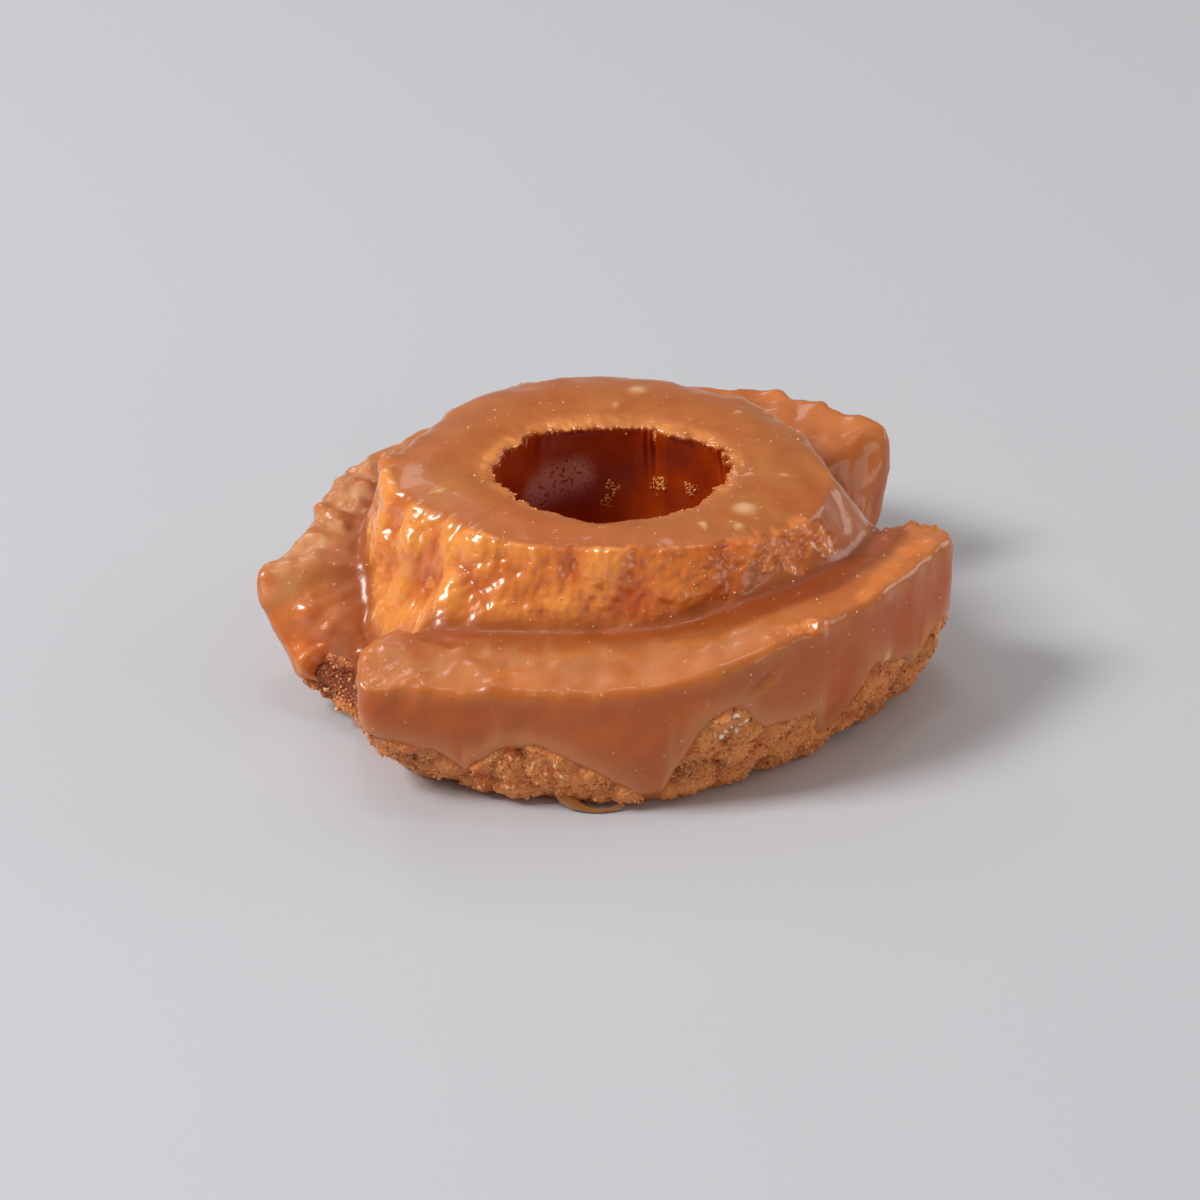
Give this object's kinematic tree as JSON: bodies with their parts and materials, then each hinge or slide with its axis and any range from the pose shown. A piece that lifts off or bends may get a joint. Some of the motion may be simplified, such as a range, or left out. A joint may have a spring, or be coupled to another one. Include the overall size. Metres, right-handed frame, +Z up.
{
  "type": "ring doughnut",
  "caption": "Old-fashioned ring doughnut with a raised crown, leaning petals of fried dough, an open centre hole and a caramel glaze.",
  "frame": {"origin": "centre of the bounding box in plan, on the plane that the flat base rests on", "axes": "+Z up through the hole, +X to the right along the front petal's longest way, -Y towards the front petal"},
  "size_m": [0.103, 0.0912, 0.034],
  "materials": {
    "glazed_crust": "fried dough under a glossy caramel glaze"
  },
  "bodies": {
    "root": {"doughnut": "glazed_crust"}
  },
  "joints": []
}
